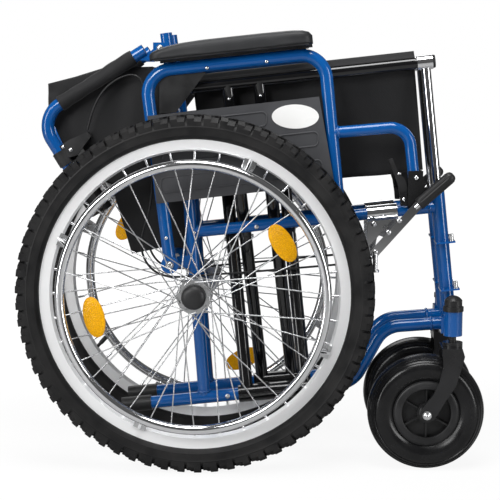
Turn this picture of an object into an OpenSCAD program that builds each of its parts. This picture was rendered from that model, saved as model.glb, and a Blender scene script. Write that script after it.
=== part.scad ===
/* [Rear wheels] */
// Radius of the rear tyre
tyre_r = 303; // [280:1:310]
// Width of the rear tyre
tyre_w = 50; // [40:1:54]
// Radius of the rim's outer edge
rim_r = 262; // [240:1:266]
// Width of the rim
rim_w = 30; // [24:1:34]
// Depth of the rim from its edge to its spoke bed
rim_depth = 17; // [12:1:24]
// Spokes in each wheel
spoke_count = 36; // [24:4:40]
// Diameter of a spoke
spoke_d = 2.2; // [1.8:0.1:3]
// Radius of the push ring, to the middle of its tube
ring_r = 222; // [200:1:232]
// Diameter of the push ring's tube
ring_d = 16; // [12:1:22]
// Distance from the tyre's middle plane to the push ring
ring_out = 45; // [38:1:60]
// Diameter of the rear axle
axle_d = 12; // [10:0.5:16]

/* [Casters] */
// Radius of the caster tyre
caster_r = 100; // [80:1:102]
// Width of the caster tyre
caster_w = 50; // [30:1:54]
// Radius of the caster's rim ring
caster_rim_r = 56; // [45:1:64]
// Trail of the caster behind its stem
caster_trail = 44; // [35:0.5:55]
// Diameter of the caster stem
stem_d = 12; // [8:0.5:14]

/* [Frame] */
// Distance between the two side frames, folded
frame_gap = 92; // [88:1:110]
// Diameter of the frame tubes
tube_d = 22; // [18:1:24]
// Diameter of the front posts
post_d = 24; // [22:1:28]
// Diameter of the telescoping guides
guide_d = 16; // [12:0.5:18]
// Slope of the frame, front up
tilt = 6.4; // [5:0.1:8]
// Height of a seat rail over its lower tube, folded
rail_rise = 538; // [530:1:550]
// Diameter of the barrel that holds a caster stem
barrel_d = 32; // [28:1:36]

/* [Arms and back] */
// Diameter of the arm tubes
arm_d = 22; // [18:1:24]
// Length of the arm pad
pad_len = 275; // [220:5:290]
// Width of the arm pad
pad_w = 48; // [40:1:52]
// Thickness of the arm pad
pad_h = 27; // [20:1:32]
// Width of a back panel, from its cane to its fold
panel_w = 150; // [110:1:155]
// Width of a lower back flap
flap_w = 100; // [60:1:104]
// Thickness of the upholstery
cloth_t = 2; // [1:0.25:2.5]
// Depth that the folded seat hangs below its rails
seat_drop = 185; // [140:1:190]

/* [Hidden] */
$fn = 32;

// Running and seat clearances
fit = 0.05;
slide_fit = 0.09;
gap = 0.3;
blue = "#0a4f96";
dark = "#1c1c1e";
steel = "#c9ccd0";
// Planes of the near side
y_frame = -frame_gap / 2;
y_arm = y_frame - (tube_d + arm_d) / 2 - 5;
y_pad = y_arm - 12;
y_caster = y_frame - 34;
y_wheel = y_frame - 71.5;
y_lever = y_arm - arm_d / 2 - 14.5;
y_ring = y_wheel - ring_out;
// Tubes that end in a thicker one
side_d = tube_d - 2;
cane_d = tube_d - 1;
// Frame lines in the side view, as x and height
slope = tan(tilt);
low_z = 117.5;
low_x = 68;
function low(x) = [x, low_z + (x - low_x) * slope];
rail_top = [-sin(tilt), cos(tilt)] * rail_rise;
function rail(x) = low(x) + [0, rail_rise / cos(tilt)];
cane_foot = low(11);
cane_bend = [-16, 452];
cane_head = [-55.5, 742];
// The back folds about a pin that lies behind both halves of its cane by the same distance
hinge = [-64.3, 717];
lean = 8.5;
back_turn = 113.7;
hinge_off = 11.5;
hub = [0, tyre_r];
upper_rear = [-8, 402];
upper_front = [407, 448.7];
function upper(x) = upper_rear
  + (upper_front - upper_rear) * (x - upper_rear[0]) / (upper_front[0] - upper_rear[0]);
// The front post leans square to the rails, so that the guide slides in it
post_foot = [437, 236];
post_dir = [-sin(tilt), cos(tilt)];
post_top = post_foot + post_dir * 243;
guide_foot = post_foot + post_dir * 214;
guide_x = post_foot[0] - (rail(380)[1] - post_foot[1]) * slope;
guide_head = rail(guide_x);
barrel_x = 438;
barrel_low = 232;
barrel_high = 274;
// Top of the caster's fork, with its washers between it and the barrel
fork_top = 221;
caster_x = barrel_x - caster_trail;
// The frame's own origin is the rear axle on the floor, and the part's is the middle of its length
mid_x = (caster_x + caster_r - tyre_r) / 2;
pivot_x = 130;
arm_pivot = [-46, 349];
arm_rear = [-88, 676];
arm_front = [214, 709];
arm_foot = [240, 462];
arm_step = [226, 575];
arm_knee = [357, 587];
arm_tip = [373, 458];
latch_pivot = [351, 464];
lock_pivot = [324, 410];
lock_link = [301, 421];
lock_shoe = [303, 358];
grip_dir = [cos(41.6), sin(41.6)];
grip_from = [374.5, 456.9];
cane_dir = [cos(90 + lean + back_turn), sin(90 + lean + back_turn)];
cane_from = hinge + [cos(lean + back_turn), sin(lean + back_turn)] * hinge_off + cane_dir * 25.2;
cane_corner = cane_from + cane_dir * 218;
handle_end = [-176, 435.5];
handle_dir = (handle_end - cane_corner) / norm(handle_end - cane_corner);
cane_angle = atan2(cane_dir[1], cane_dir[0]);
handle_angle = atan2(handle_dir[1], handle_dir[0]);
lever_pivot = [-219, 543];

// Places its children in the side view, in the plane at y
module side(y) translate([-mid_x, y, 0]) rotate([90, 0, 0]) children();
// Draws the far side as the mirror image of the near one
module far() mirror([0, 1, 0]) children();

// Straight round bar in the side view
module bar(a, b, d)
  translate([a[0], a[1], 0]) rotate([0, 0, atan2(b[1] - a[1], b[0] - a[0])])
    rotate([0, 90, 0]) cylinder(d = d, h = norm(b - a));

function unit(v) = v / norm(v);
function turn(p, i) = let (u = unit(p[i] - p[i - 1]), w = unit(p[i + 1] - p[i]))
  atan2(u[0] * w[1] - u[1] * w[0], u * w);
function cut_back(p, i, r) = (i == 0 || i == len(p) - 1) ? 0 : r * tan(abs(turn(p, i)) / 2);

// Round tube bent to radius r at each inner point of p
module bent(p, r, d) {
  for (i = [0 : len(p) - 2]) {
    u = unit(p[i + 1] - p[i]);
    start = (i == 0) ? 0 : cut_back(p, i, r) - 1;
    stop = (i == len(p) - 2) ? 0 : cut_back(p, i + 1, r) - 1;
    bar(p[i] + u * start, p[i + 1] - u * stop, d);
  }
  for (i = [1 : len(p) - 2]) {
    u = unit(p[i] - p[i - 1]);
    t = turn(p, i);
    s = sign(t);
    c = p[i] - u * cut_back(p, i, r) + [-u[1], u[0]] * s * r;
    a = atan2(u[1], u[0]) - s * 90;
    translate([c[0], c[1], 0]) rotate([0, 0, min(a, a + t)])
      rotate_extrude(angle = abs(t)) translate([r, 0]) circle(d = d + 0.2);
  }
}

// Pin along y at a point of the side view, from y0 outboard to y1 inboard
module pin(p, y0, y1, d) translate([p[0] - mid_x, y1, p[1]]) rotate([90, 0, 0])
  cylinder(d = d, h = y1 - y0);

// Flat plate of an outline in the side view, from y0 to y1
module plate(points, y0, y1) translate([-mid_x, y1, 0]) rotate([90, 0, 0])
  linear_extrude(y1 - y0) polygon(points);

// Swept cable of eight flats through route points in millimetres
cable_d = 4;
cable_sides = 8;
function ahead(p, i) = unit(p[min(i + 1, len(p) - 1)] - p[max(i - 1, 0)]);
function across(v) = unit(cross(v, [0, 1, 0.1]));
function ring_at(p, i) = let (v = ahead(p, i), a = across(v), b = cross(v, a))
  [for (k = [0 : cable_sides - 1])
    p[i] + (a * cos(360 * k / cable_sides) + b * sin(360 * k / cable_sides)) * cable_d / 2];
module cable(p) {
  n = cable_sides;
  m = len(p);
  points = [for (i = [0 : m - 1]) each ring_at(p, i)];
  sides = [for (i = [0 : m - 2]) for (k = [0 : n - 1]) each
    [[i * n + k, i * n + (k + 1) % n, (i + 1) * n + (k + 1) % n],
     [i * n + k, (i + 1) * n + (k + 1) % n, (i + 1) * n + k]]];
  caps = [for (k = [1 : n - 2]) each
    [[0, k + 1, k], [(m - 1) * n, (m - 1) * n + k, (m - 1) * n + k + 1]]];
  translate([-mid_x, 0, 0]) polyhedron(points, [for (f = concat(sides, caps)) [f[0], f[2], f[1]]]);
}

// Brake cable from behind the arm, round its loop and forward to the wheel lock
cable_route = [[-190, -50, 578], [-186, -50, 594], [-177, -50, 620], [-164, -50, 642], [-150, -50, 656],
  [-134, -50, 666], [-116, -50, 671], [-101, -50, 666], [-91, -51, 650], [-86, -52, 628], [-83, -52, 600],
  [-80, -52, 560], [-79, -52, 520], [-79, -52, 480], [-84, -52, 440], [-93, -52, 410], [-98, -52, 388],
  [-97, -52, 368], [-90, -52, 350], [-78, -52, 336], [-62, -54, 328], [-42, -57, 325], [-20, -58.8, 326],
  [6, -58.8, 328], [32, -63, 331], [80, -66, 335], [130, -68, 340], [180, -70, 345], [230, -72, 350],
  [262, -74, 354], [288, -76, 361]];

module frame() color(blue) difference() {
  union() {
    side(y_frame) {
      bent([low(-128), low(269.6), [322.2, 239.5], [428, 248.2]], 50, tube_d);
      bar(upper_rear, upper_front, side_d);
      bar(post_foot, post_top, post_d);
      bent([cane_foot, cane_bend, cane_head], 90, cane_d);
    }
    // Barrel and the block that joins it to the post
    translate([barrel_x - mid_x, y_caster, barrel_low]) cylinder(d = barrel_d, h = barrel_high - barrel_low);
    translate([barrel_x - 20 - mid_x, y_caster, barrel_low + 3]) cube([24, 34, 28]);
    // Axle receiver and the arm's pivot bracket
    pin(hub, y_frame - 36, y_frame, axle_d + 10);
    plate([[-54, 340], [-54, 358], [-4, 364], [-2, 340]], y_frame - 11, y_frame - 7);
    // Ears of the back hinge
    for (y = [y_frame - 11, y_frame + 5])
      plate([[-76, 708], [-76, 726], [-50, 726], [-44, 700]], y, y + 6);
    // Plates and pins that the footrests hang on
    for (z = [390, 309])
      translate([post_foot[0] - (z - post_foot[1]) * slope - mid_x, y_frame, z])
        rotate([0, -tilt, 0]) {
          translate([-12, -31, -1.5]) cube([32, 49, 3]);
        }
  }
  side(y_frame) bar(post_foot - post_dir * 60, post_top + post_dir * 5, guide_d + 2 * slide_fit);
  pin(hub, y_frame - 60, y_frame + 60, axle_d + 2 * fit);
  translate([barrel_x - mid_x, y_caster, barrel_low - 5]) cylinder(d = stem_d + 2 * fit, h = 80);
  pin(hinge, y_frame - 30, y_frame + 30, 6 + 2 * fit);
  pin(arm_pivot, y_arm - 20, y_frame + 20, 8 + 2 * fit);
  // Slot in the cane's head that the hinge's knuckle turns in
  translate([hinge[0] - 20 - mid_x, y_frame - 5, hinge[1] - 13]) cube([30, 10, 60]);
}

module frame_caps() color(dark) {
  // Rubber cap on the lower tube's rear end
  side(y_frame) difference() {
    bar(low(-134), low(-82), tube_d + 5);
    bar(low(-128) - [gap, 0], low(-60), tube_d + 2 * fit);
  }
  // Domed cap on the barrel
  translate([barrel_x - mid_x, y_caster, barrel_high]) {
    cylinder(d = barrel_d + 3, h = 8);
    translate([0, 0, 8]) cylinder(d = barrel_d - 2, h = 9);
    translate([0, 0, 17]) intersection() {
      cylinder(d = barrel_d - 2, h = 11);
      translate([0, 0, -8]) sphere(r = 18);
    }
  }
}

module axle() color(steel) {
  pin(hub, y_wheel - 36, y_frame + 14, axle_d);
  pin(hub, y_frame + 11 + fit, y_frame + 20, 20);
  // Bolts of the back's hinge and of the arm's pivot
  pin(hinge, y_frame - 12, y_frame + 11.2, 6);
  pin(hinge, y_frame - 13.3, y_frame - 11 - fit, 11);
  pin(arm_pivot, y_arm - 13, y_frame - 5, 8);
  pin(arm_pivot, y_arm - 15, y_arm - 11 - fit, 14);
  // Hanger pins beside the post, for the footrests
  for (z = [390, 309])
    translate([post_foot[0] - (z - post_foot[1]) * slope - mid_x, y_frame, z])
      rotate([0, -tilt, 0]) translate([14, -24, 1.5 + fit]) cylinder(d = 8, h = 12);
}

module lock_clamp() color(steel) {
  side(y_frame) difference() {
    bar(upper(291), upper(342), side_d + 8);
    bar(upper(270), upper(360), side_d + 2 * fit);
  }
  // Bracket out to the lever, with its pivot pin and the nut of the link
  plate([[290, 424], [342, 430], [338, 404], [318, 398], [290, 408]], y_frame - 17, y_frame - 14);
  pin(lock_pivot, y_lever - 5, y_frame - 14, 8);
  pin(lock_link, y_frame - 26, y_frame - 14, 14);
  plate([[292, 424], [304, 428], [311, 416], [300, 360], [288, 362]], y_frame - 22, y_frame - 19);
  pin([294, 366], y_frame - 36, y_frame - 19, 8);
}

module latch_bracket() color(dark) {
  difference() {
    union() {
      // Sleeve round the arm's foot, and the wedge that stands on the upper tube
      translate([357 - mid_x, y_arm - arm_d / 2 - 4, 453]) cube([25, arm_d + 6.6, 59.5]);
      plate([[359, 453], [359, 492], [392, 492], [392, 484], [380, 453]],
        y_arm - arm_d / 2 - 4, y_arm + arm_d / 2 + 2.6);
      plate([[359, 447], [359, 462], [386, 462], [386, 447]], y_arm + arm_d / 2 - 1, y_frame + 6);
    }
    translate([350 - mid_x, y_arm - arm_d / 2 - 0.4, 456.4]) cube([60, arm_d + 0.8, 80]);
    side(y_frame) bar(upper_rear, upper_front, side_d + 2 * fit);
  }
  for (y = [y_arm - 8, y_arm + 4.2])
    plate([[344, 474], [356, 474], [358.5, 457], [363, 455], [363, 453], [346, 453]], y, y + 3.8);
  pin(latch_pivot, y_arm - 8, y_arm + 8, 5);
}

module cable_run() color(dark) cable(cable_route);

// Lower part of the back, hinged along the lower cane and folded back beside it
module back_flap() color(dark) {
  // Seam that laces it to the cane
  plate([[-24, 468], [-15, 468], [-7, 378], [-16, 378]], y_frame + cane_d / 2 + gap, y_frame + 19.5);
  plate([[-30, 512], [-62 - flap_w, 512], [-52 - flap_w, 466], [-38 - flap_w, 436], [-18 - flap_w, 361],
    [-62, 373], [-15, 372]],
    y_frame + 18.5, y_frame + 18.5 + cloth_t);
}

module tyre() color(dark) translate([-mid_x, y_wheel, tyre_r]) rotate([90, 0, 0])
  rotate_extrude($fn = 96) polygon([[rim_r - 4, -rim_w / 2 + 2 + gap], [rim_r + gap, -rim_w / 2 + 2 + gap],
    [rim_r + gap, -rim_w / 2 - 2], [rim_r + 14, -tyre_w / 2 + 2], [tyre_r - 16, -tyre_w / 2],
    [tyre_r - 6, -tyre_w / 2 + 7],
    [tyre_r, -tyre_w / 4 + 3], [tyre_r, tyre_w / 4 - 3], [tyre_r - 6, tyre_w / 2 - 7],
    [tyre_r - 16, tyre_w / 2], [rim_r + 14, tyre_w / 2 - 2], [rim_r + gap, rim_w / 2 + 2],
    [rim_r + gap, rim_w / 2 - 2 - gap], [rim_r - 4, rim_w / 2 - 2 - gap]]);

module rim() color(steel) translate([-mid_x, y_wheel, tyre_r]) rotate([90, 0, 0])
  rotate_extrude($fn = 96) polygon([[rim_r, -rim_w / 2], [rim_r - rim_depth, -rim_w / 2 + 3],
    [rim_r - rim_depth - 3, 0], [rim_r - rim_depth, rim_w / 2 - 3], [rim_r, rim_w / 2],
    [rim_r, rim_w / 2 - 2], [rim_r - 4 - gap, rim_w / 2 - 2], [rim_r - 4 - gap, -rim_w / 2 + 2],
    [rim_r, -rim_w / 2 + 2]]);

// Half length of the hub between its spoke flanges
flange_y = 24;
flange_r = 25;
spoke_end = rim_r - rim_depth - 2.9;
module spokes() color(steel) translate([-mid_x, y_wheel, tyre_r])
  for (k = [0 : spoke_count - 1]) {
    s = (k % 2 == 0) ? 1 : -1;
    w = (k % 4 < 2) ? 1 : -1;
    a = 360 * k / spoke_count;
    p = [flange_r * cos(a + w * 75), s * (flange_y + ((w > 0) ? 3.9 : -2.7)) + s * w * spoke_d / 2,
      flange_r * sin(a + w * 75)];
    q = [spoke_end * cos(a), s * 2, spoke_end * sin(a)];
    v = q - p;
    translate(p) rotate([0, acos(v[2] / norm(v)), atan2(v[1], v[0])])
      cylinder(d = spoke_d, h = norm(v), $fn = 16);
  }

module hub_body() color(dark) difference() {
  union() {
    pin(hub, y_wheel - flange_y - 6, y_wheel + flange_y + 5, 34);
    for (s = [-1, 1]) pin(hub, y_wheel + s * flange_y - 2.5, y_wheel + s * flange_y + 2.5, 2 * flange_r + 8);
  }
  pin(hub, y_wheel - 60, y_wheel + 60, axle_d + 2 * fit);
}

module hub_cap() color(dark) intersection() {
  difference() {
    pin(hub, y_wheel - flange_y - 18, y_wheel - flange_y - 6 - fit, 41);
    pin(hub, y_wheel - 37, y_wheel, axle_d + 1);
  }
  translate([-mid_x, y_wheel - flange_y + 8, hub[1]]) sphere(r = 28);
}

module push_ring() color(steel) {
  translate([-mid_x, y_ring, tyre_r]) rotate([90, 0, 0])
    rotate_extrude($fn = 96) translate([ring_r, 0]) circle(d = ring_d);
  // Tabs that hold it on the rim
  for (a = [67.5 : 90 : 360]) translate([-mid_x, 0, tyre_r]) rotate([0, -a, 0]) {
    p = [ring_r + ring_d / 2 - 3, y_ring, 0];
    q = [rim_r - rim_depth + 2, y_wheel - rim_w / 2 + 2.6, 0];
    v = q - p;
    translate(p) rotate([0, acos(v[2] / norm(v)), atan2(v[1], v[0])]) cylinder(d = 6, h = norm(v) - 1.6);
  }
}

module reflectors(angles) color("#f0a010") for (a = angles)
  translate([-mid_x, y_wheel - 14, tyre_r]) rotate([0, -a, 0]) translate([173, 0, 0])
    rotate([90, 0, 0]) linear_extrude(6) intersection() {
      translate([34, 0]) circle(r = 52, $fn = 48);
      translate([-34, 0]) circle(r = 52, $fn = 48);
      square([38, 68], center = true);
    }

module caster_fork() color(dark) {
  blade = caster_w / 2 + 7;
  difference() {
    union() {
      // Crown over the wheel and a blade on each side
      translate([barrel_x - mid_x, y_caster, fork_top - 15]) cylinder(d = 34, h = 15);
      translate([barrel_x - 20 - mid_x, y_caster - blade, fork_top - 19]) cube([34, 2 * blade, 12]);
      for (s = [-1, 1])
        plate([[barrel_x - 20, fork_top - 7], [barrel_x + 14, fork_top - 7], [barrel_x + 18, fork_top - 20],
          [barrel_x + 14, 184], [barrel_x + 4, 150], [barrel_x - 14, 122], [caster_x + 12, 91],
          [caster_x, 87], [caster_x - 12, 94], [caster_x - 9, 110], [caster_x + 10, 134],
          [barrel_x - 24, 156], [barrel_x - 18, 184]],
          y_caster + s * (blade - 3) - 3, y_caster + s * (blade - 3) + 3);
    }
    pin([caster_x, caster_r], y_caster - 60, y_caster + 60, 10 + 2 * fit);
  }
  // Stem with its top inside the barrel
  translate([barrel_x - mid_x, y_caster, fork_top - 8]) cylinder(d = stem_d, h = barrel_high - fork_top);
}

module caster_axle() color(steel) {
  pin([caster_x, caster_r], y_caster - caster_w / 2 - 11, y_caster + caster_w / 2 + 11, 10);
  for (s = [-1, 1]) pin([caster_x, caster_r], y_caster + s * (caster_w / 2 + 9.6) - 2.5,
    y_caster + s * (caster_w / 2 + 9.6) + 2.5, 15);
}

module caster_wheel() color(dark) difference() {
  union() {
    pin([caster_x, caster_r], y_caster - 20, y_caster + 20, 32);
    pin([caster_x, caster_r], y_caster - 8, y_caster + 8, 2 * caster_rim_r - 8);
    difference() {
      pin([caster_x, caster_r], y_caster - 19, y_caster + 19, 2 * caster_rim_r);
      pin([caster_x, caster_r], y_caster - 30, y_caster + 30, 2 * caster_rim_r - 16);
    }
    for (a = [30 : 60 : 360]) translate([caster_x - mid_x, y_caster, caster_r])
      rotate([0, -a, 0]) translate([14, -17, -1.2]) cube([caster_rim_r - 20, 34, 2.4]);
  }
  pin([caster_x, caster_r], y_caster - 60, y_caster + 60, 10 + 2 * fit);
}

module caster_tyre() color(dark) translate([caster_x - mid_x, y_caster, caster_r]) rotate([90, 0, 0])
  rotate_extrude($fn = 72) polygon([[caster_rim_r + fit, -19], [caster_rim_r + 8, -caster_w / 2],
    [caster_r - 18, -caster_w / 2], [caster_r - 7, -caster_w / 2 + 6], [caster_r - 1.5, -caster_w / 4],
    [caster_r, 0], [caster_r - 1.5, caster_w / 4], [caster_r - 7, caster_w / 2 - 6],
    [caster_r - 18, caster_w / 2], [caster_rim_r + 8, caster_w / 2], [caster_rim_r + fit, 19]]);

module arm_frame() color(blue) difference() {
  side(y_arm) {
    bent([arm_pivot, arm_rear, arm_front, arm_foot], 42, arm_d);
    bent([arm_step, arm_knee, arm_tip], 34, arm_d - 2);
    translate([arm_pivot[0], arm_pivot[1], -arm_d / 2 + 0.3]) cylinder(d = 30, h = arm_d - 0.6);
  }
  pin(arm_pivot, y_arm - 20, y_frame + 20, 8 + 2 * fit);
}

// Pad: a crowned bar whose ends round down to its flat underside
pad_rear = [-78, 693];
pad_slope = atan2(arm_front[1] - arm_rear[1], arm_front[0] - arm_rear[0]);
// Height of the arm tube's top under the pad, and of the strip's foot a gap above it
arm_top = arm_rear[1] + (pad_rear[0] - arm_rear[0]) * tan(pad_slope) + arm_d / 2 / cos(pad_slope);
pad_seat = (arm_top - pad_rear[1]) * cos(pad_slope) + gap;
module arm_pad() color(dark) translate([pad_rear[0] - mid_x, y_pad, pad_rear[1]])
  rotate([0, -pad_slope, 0]) {
    intersection() {
      translate([pad_len / 2, 0, -620 + pad_h]) rotate([90, 0, 0])
        cylinder(r = 620, h = pad_w, center = true, $fn = 360);
      translate([0, -pad_w / 2, 0]) cube([pad_len, pad_w, pad_h + 1]);
      translate([0, 0, -16]) rotate([0, 90, 0]) cylinder(r = 43, h = pad_len, $fn = 96);
    }
    // Strip that it is screwed to the arm's tube with
    translate([16, y_arm - y_pad - 7, pad_seat]) cube([pad_len - 34, 14, 1 - pad_seat]);
  }

skirt_t = 2;
module skirt() color("#3b3c40") plate([[-83, 602], [206, 636], [232, 498], [228, 490], [-68, 454]],
  y_arm - arm_d / 2 - gap - skirt_t, y_arm - arm_d / 2 - gap);

module latch_lever() color("#3a3b3d") difference() {
  plate([[325, 531], [331, 533], [341, 510], [351, 500], [356.5, 486], [356.5, 460], [351, 457],
    [345, 464], [341, 488], [332, 512]], y_arm - 3.6, y_arm + 3.6);
  pin(latch_pivot, y_arm - 20, y_arm + 20, 5 + 2 * fit);
}

module lock_lever() color(steel) {
  difference() {
    union() {
      side(y_lever) {
        translate([0, 0, -2]) linear_extrude(4) polygon([[296, 379], [298, 370], [307, 369],
          [379.1, 450.9], [369.1, 462.1], [364, 456]]);
        bar([303, 376], lock_shoe - [0, 12], 8);
        bar(lock_shoe - [0, 12], lock_shoe - [0, 16], 14);
        bar(grip_from - grip_dir * 8, grip_from + grip_dir * 3.6, 9);
      }
      pin([342, 430], y_lever - 5, y_lever, 9);
    }
    pin(lock_pivot, y_lever - 20, y_lever + 20, 8 + 2 * fit);
  }
}

module lock_grip() color(dark) side(y_lever) difference() {
  bar(grip_from, grip_from + grip_dir * 76, 21);
  bar(grip_from - grip_dir * 8, grip_from + grip_dir * 3.9, 9 + 2 * fit);
}

module upper_cane() color(blue) difference() {
  union() {
    side(y_frame) bent([cane_from, cane_corner, handle_end], 45, tube_d);
    // Knuckle of the hinge and the plate that carries it
    side(y_frame) translate([hinge[0], hinge[1], -4.7]) rotate([0, 0, back_turn]) linear_extrude(9.4)
      polygon([[-8, -3], [-4, -7.5], [3, -7.5], [6.5, -3], [6.5, 3], [2, 16], [0, 28.5], [7, 32], [5, 44],
        [-4, 44], [-11, 28], [-10, 10]]);
  }
  pin(hinge, y_frame - 30, y_frame + 30, 6 + 2 * fit);
}

module grip() color(dark) side(y_frame) difference() {
  union() {
    bar(handle_end - handle_dir * 92, handle_end - handle_dir * 4, 26);
    bar(handle_end - handle_dir * 5, handle_end + handle_dir * 4, 26.6);
  }
  bar(handle_end - handle_dir * 120, handle_end + handle_dir * 0.5, tube_d + 2 * fit);
}

module brake_body() color(dark) difference() {
  union() {
    side(y_frame) bar(handle_end - handle_dir * 122, handle_end - handle_dir * 96, 26.4);
    plate([[-240, 548], [-222, 560], [-190, 574], [-184, 566], [-208, 534], [-228, 528]],
      y_frame - 9, y_frame + 9);
  }
  side(y_frame) bar(handle_end - handle_dir * 160, handle_end + handle_dir * 10, tube_d + 2 * fit);
  plate([[-230, 570], [-196, 552], [-190, 500], [-240, 500]], y_frame - 5, y_frame + 5);
  pin(lever_pivot, y_frame - 20, y_frame + 20, 5 + 2 * fit);
}

module brake_lever() color(steel) {
  difference() {
    plate([[-224, 548], [-210, 556], [-198, 545], [-164, 490], [-150, 464], [-158, 459], [-172, 482],
      [-207, 534], [-220, 536]], y_frame - 4.7, y_frame + 4.7);
    side(y_frame) bar(handle_end - handle_dir * 160, handle_end + handle_dir * 10, 27.2);
  }
  pin(lever_pivot, y_frame - 9, y_frame + 9, 5);
}

// Upper part of the back: a sleeve on the cane and a panel folded beside it
module back_panel() color(dark) {
  d = [-cane_dir[1], cane_dir[0]];
  a = cane_from + cane_dir * 22;
  b = cane_from + cane_dir * 172;
  side(y_frame) difference() {
    bar(a, b, tube_d + 3);
    bar(a - cane_dir * 5, b + cane_dir * 5, tube_d + 2 * fit);
  }
  plate([a, b, b + d * 8, a + d * 8], y_frame + 11.6, y_frame + 15);
  plate([a, [-166, 682], [-261, 656], [-262, 620], [-250, 566], [-215, 500], [-143, 478], [-60, 520],
    a + d * panel_w], y_frame + 14, y_frame + 14 + cloth_t);
}

module seat_guide() color(steel) side(y_frame) {
  difference() {
    union() {
      bar(guide_foot, guide_head, guide_d);
      bar(guide_head - [cos(tilt), sin(tilt)] * 14, guide_head + [cos(tilt), sin(tilt)] * 12, tube_d + 3);
    }
    bar(guide_head - [cos(tilt), sin(tilt)] * 30, guide_head + [cos(tilt), sin(tilt)] * 10,
      tube_d - 4 + 2 * fit);
  }
}

// One member of the folding cross: a sleeve on its own lower tube, two legs and a seat rail
brace_d = 22;
function along(p, u, y, w) = [p[0] - mid_x + u * cos(tilt) - w * sin(tilt), y,
  p[1] + u * sin(tilt) + w * cos(tilt)];
module rod(a, b, d) {
  v = b - a;
  translate(a) rotate([0, acos(v[2] / norm(v)), atan2(v[1], v[0])]) cylinder(d = d, h = norm(v));
}
module brace(from_y, legs) {
  base = low(pivot_x);
  difference() {
    union() {
      rod(along(base, legs[0] - 15, from_y, 0), along(base, legs[1] + 15, from_y, 0), tube_d + 8);
      for (u = legs) rod(along(base, u, from_y, 0), along(base, u, -from_y, rail_rise), brace_d);
      rod(along(base, rail_from, -from_y, rail_rise), along(base, rail_end - 27, -from_y, rail_rise), tube_d);
      // Rail's thinner end, which turns in the guide's sleeve
      rod(along(base, rail_end - 28, -from_y, rail_rise), along(base, rail_end, -from_y, rail_rise), tube_d - 4);
    }
    rod(along(base, -190, from_y, 0), along(base, 190, from_y, 0), tube_d + 2 * fit);
    for (u = legs) rod(along(base, u - 40, 0, rail_rise / 2), along(base, u + 40, 0, rail_rise / 2), 8 + 2 * fit);
  }
}
rail_from = -90;
rail_end = (guide_head[0] - pivot_x + rail_rise * sin(tilt)) / cos(tilt) + 9.5;
outer_legs = [-44, 58];
inner_legs = [-20, 34];
module outer_brace() color(dark) brace(y_frame, outer_legs);
module inner_brace() color(dark) brace(-y_frame, inner_legs);
module brace_bolts() color(steel) for (k = [0, 1]) {
  base = low(pivot_x);
  rod(along(base, outer_legs[k] - 14, 0, rail_rise / 2), along(base, inner_legs[k] + 14, 0, rail_rise / 2), 8);
}

// Seat: one strip of cloth round both rails, hanging in a fold between the braces while folded
module seat_sling() color(dark) {
  base = low(pivot_x);
  rail_y = -y_frame;
  top = rail_y - tube_d / 2 - cloth_t + 1.2;
  foot = top - seat_drop * 2 * rail_y / rail_rise + 1;
  difference() {
    translate(along(base, rail_from + 10, 0, rail_rise)) rotate([0, -tilt, 0]) rotate([90, 0, 90])
      linear_extrude(380) difference() {
        union() {
          for (s = [-1, 1]) translate([s * rail_y, 0]) circle(d = tube_d + 2 * cloth_t);
          polygon([[-top, 2], [-foot, -seat_drop], [foot, -seat_drop], [top, 2]]);
        }
        for (s = [-1, 1]) translate([s * rail_y, 0]) circle(d = tube_d + 2 * fit);
        polygon([[-top + cloth_t, 3], [-foot + cloth_t, -seat_drop + cloth_t],
          [foot - cloth_t, -seat_drop + cloth_t], [top - cloth_t, 3]]);
      }
    for (u = outer_legs) rod(along(base, u, y_frame, 0), along(base, u, -y_frame, rail_rise), brace_d + 1);
    for (u = inner_legs) rod(along(base, u, -y_frame, 0), along(base, u, y_frame, rail_rise), brace_d + 1);
  }
}

frame();  // near_frame
frame_caps();  // near_frame_caps
axle();  // near_axle_and_pins
lock_clamp();  // near_lock_clamp
latch_bracket();  // near_latch_bracket
cable_run();  // near_cable_run
back_flap();  // near_back_flap
tyre();  // near_tyre
rim();  // near_rim
spokes();  // near_spokes
hub_body();  // near_hub
hub_cap();  // near_hub_cap
push_ring();  // near_push_ring
reflectors([31.6, 192.5]);  // near_reflectors
caster_fork();  // near_caster_fork
caster_axle();  // near_caster_axle
caster_wheel();  // near_caster_wheel
caster_tyre();  // near_caster_tyre
arm_frame();  // near_arm_frame
arm_pad();  // near_arm_pad
skirt();  // near_skirt
latch_lever();  // near_latch_lever
lock_lever();  // near_lock_lever
lock_grip();  // near_lock_grip
upper_cane();  // near_upper_cane
grip();  // near_grip
brake_body();  // near_brake_body
brake_lever();  // near_brake_lever
back_panel();  // near_back_panel
seat_guide();  // near_seat_guide
far() frame();  // far_frame
far() {  // far_frame_caps
  frame_caps();
  latch_bracket();
}
far() axle();  // far_axle_and_pins
far() lock_clamp();  // far_lock_clamp
far() latch_lever();  // far_latch_lever
far() cable_run();  // far_cable_run
far() back_flap();  // far_back_flap
far() tyre();  // far_tyre
far() rim();  // far_rim
far() spokes();  // far_spokes
far() {  // far_hub
  hub_body();
  hub_cap();
}
far() push_ring();  // far_push_ring
far() reflectors([146.5, 294]);  // far_reflectors
far() caster_fork();  // far_caster_fork
far() caster_axle();  // far_caster_axle
far() caster_wheel();  // far_caster_wheel
far() caster_tyre();  // far_caster_tyre
far() arm_frame();  // far_arm_frame
far() arm_pad();  // far_arm_pad
far() skirt();  // far_skirt
far() {  // far_lock_lever
  lock_lever();
  lock_grip();
}
far() upper_cane();  // far_upper_cane
far() {  // far_grip
  grip();
  brake_body();
}
far() brake_lever();  // far_brake_lever
far() back_panel();  // far_back_panel
far() seat_guide();  // far_seat_guide
outer_brace();
inner_brace();
brace_bolts();
seat_sling();
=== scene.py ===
import math
import random

import bmesh
import bpy
from mathutils import Matrix, Vector


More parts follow.
